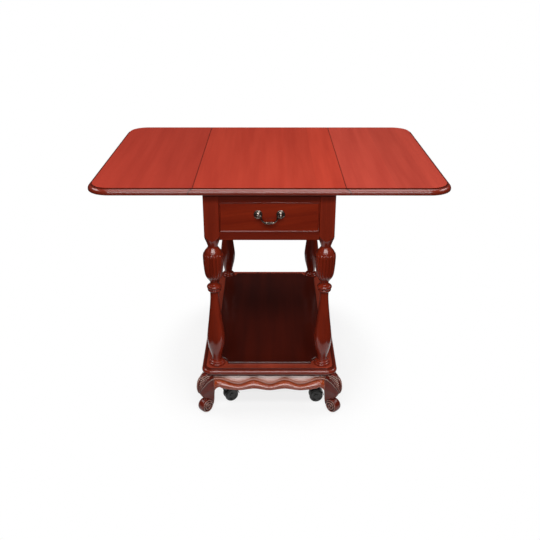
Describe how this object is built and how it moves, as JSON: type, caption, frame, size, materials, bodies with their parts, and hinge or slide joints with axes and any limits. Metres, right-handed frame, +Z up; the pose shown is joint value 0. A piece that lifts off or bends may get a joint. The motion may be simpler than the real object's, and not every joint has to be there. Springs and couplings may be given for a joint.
{
  "type": "drop leaf tea trolley",
  "caption": "Mahogany tea trolley on casters with two drop leaves on rule joints, a drawer, turned legs, a lower shelf with a serpentine apron, and scroll feet.",
  "frame": {"origin": "on the floor, under the middle of the trolley", "axes": "+Z up, the drawer faces -Y, the leaves reach along -X and +X; the open width along X is the longest"},
  "size_m": [0.98, 0.7284, 0.71],
  "materials": {
    "top_wood": "polished red mahogany",
    "shelf_wood": "polished red mahogany",
    "frame_wood": "polished red mahogany",
    "inner_wood": "plain sealed wood",
    "pull_metal": "antiqued brass",
    "hinge_metal": "plated steel",
    "caster_socket": "zinc plated steel",
    "caster_plastic": "black nylon",
    "caster_tread": "black nylon"
  },
  "bodies": {
    "frame": {"top_panel": "top_wood", "leg_front_left": "frame_wood", "leg_front_right": "frame_wood", "leg_back_right": "frame_wood", "leg_back_left": "frame_wood", "front_rail_upper": "frame_wood", "front_rail_lower": "frame_wood", "back_rail": "frame_wood", "side_rail_left": "frame_wood", "side_rail_right": "frame_wood", "drawer_runners": "inner_wood", "drawer_kickers": "inner_wood", "drawer_stops": "inner_wood", "base_platform": "shelf_wood", "shelf_panel": "shelf_wood", "apron_front": "frame_wood", "apron_back": "frame_wood", "apron_left": "frame_wood", "apron_right": "frame_wood", "foot_front_left": "frame_wood", "foot_front_right": "frame_wood", "foot_back_right": "frame_wood", "foot_back_left": "frame_wood", "caster_blocks": "inner_wood", "caster_sockets": "caster_socket", "hinge_plates_fixed_left": "hinge_metal", "hinge_plates_fixed_right": "hinge_metal", "stay_brackets_left": "hinge_metal", "stay_brackets_right": "hinge_metal"},
    "leaf_left": {"leaf_left": "top_wood", "hinge_plates_left": "hinge_metal", "hinge_pins_left": "hinge_metal", "stay_tracks_left": "hinge_metal"},
    "stay_left": {"stay_arms_left": "hinge_metal"},
    "leaf_right": {"leaf_right": "top_wood", "hinge_plates_right": "hinge_metal", "hinge_pins_right": "hinge_metal", "stay_tracks_right": "hinge_metal"},
    "stay_right": {"stay_arms_right": "hinge_metal"},
    "drawer": {"drawer_front": "frame_wood", "drawer_cock_bead": "frame_wood", "drawer_side_left": "inner_wood", "drawer_side_right": "inner_wood", "drawer_back": "inner_wood", "drawer_bottom": "inner_wood", "pull_roses": "pull_metal", "pull_nuts": "pull_metal"},
    "bail": {"bail_handle": "pull_metal"},
    "caster_front_left": {"caster_hood_front_left": "caster_plastic"},
    "wheels_front_left": {"caster_wheels_front_left": "caster_tread"},
    "caster_front_right": {"caster_hood_front_right": "caster_plastic"},
    "wheels_front_right": {"caster_wheels_front_right": "caster_tread"},
    "caster_back_right": {"caster_hood_back_right": "caster_plastic"},
    "wheels_back_right": {"caster_wheels_back_right": "caster_tread"},
    "caster_back_left": {"caster_hood_back_left": "caster_plastic"},
    "wheels_back_left": {"caster_wheels_back_left": "caster_tread"}
  },
  "joints": [
    {"name": "leaf_left_hinge", "type": "hinge", "parent": "frame", "child": "leaf_left", "pos_m": [-0.2025, 0, 0.695], "axis": [0, -1, 0], "range_deg": [0, 90]},
    {"name": "stay_left_pivot", "type": "hinge", "parent": "frame", "child": "stay_left", "pos_m": [-0.1865, 0, 0.635], "axis": [0, -1, 0], "range_deg": [0, 107.26]},
    {"name": "leaf_right_hinge", "type": "hinge", "parent": "frame", "child": "leaf_right", "pos_m": [0.2025, 0, 0.695], "axis": [0, 1, 0], "range_deg": [0, 90]},
    {"name": "stay_right_pivot", "type": "hinge", "parent": "frame", "child": "stay_right", "pos_m": [0.1865, 0, 0.635], "axis": [0, 1, 0], "range_deg": [0, 107.26]},
    {"name": "drawer_slide", "type": "slide", "parent": "frame", "child": "drawer", "axis": [0, -1, 0], "range_m": [0, 0.3]},
    {"name": "bail_pivot", "type": "hinge", "parent": "drawer", "child": "bail", "pos_m": [0, -0.34, 0.632], "axis": [-1, 0, 0], "range_deg": [0, 90]},
    {"name": "caster_front_left_swivel", "type": "hinge", "parent": "frame", "child": "caster_front_left", "pos_m": [-0.132, -0.284, 0.073], "axis": [0, 0, 1], "continuous": true},
    {"name": "caster_front_left_roll", "type": "hinge", "parent": "caster_front_left", "child": "wheels_front_left", "pos_m": [-0.12112, -0.27893, 0.021], "axis": [-0.4226, 0.9063, 0], "continuous": true},
    {"name": "caster_front_right_swivel", "type": "hinge", "parent": "frame", "child": "caster_front_right", "pos_m": [0.132, -0.284, 0.073], "axis": [0, 0, 1], "continuous": true},
    {"name": "caster_front_right_roll", "type": "hinge", "parent": "caster_front_right", "child": "wheels_front_right", "pos_m": [0.14393, -0.28275, 0.021], "axis": [-0.1045, 0.9945, 0], "continuous": true},
    {"name": "caster_back_right_swivel", "type": "hinge", "parent": "frame", "child": "caster_back_right", "pos_m": [0.132, 0.284, 0.073], "axis": [0, 0, 1], "continuous": true},
    {"name": "caster_back_right_roll", "type": "hinge", "parent": "caster_back_right", "child": "wheels_back_right", "pos_m": [0.14364, 0.2811, 0.021], "axis": [0.2419, 0.9703, 0], "continuous": true},
    {"name": "caster_back_left_swivel", "type": "hinge", "parent": "frame", "child": "caster_back_left", "pos_m": [-0.132, 0.284, 0.073], "axis": [0, 0, 1], "continuous": true},
    {"name": "caster_back_left_roll", "type": "hinge", "parent": "caster_back_left", "child": "wheels_back_left", "pos_m": [-0.12026, 0.28649, 0.021], "axis": [-0.2079, 0.9781, 0], "continuous": true}
  ],
  "couplings": [
    {"joint": "stay_left_pivot", "follows": "leaf_left_hinge", "ratio": 1.1906},
    {"joint": "stay_right_pivot", "follows": "leaf_right_hinge", "ratio": 1.1906}
  ]
}
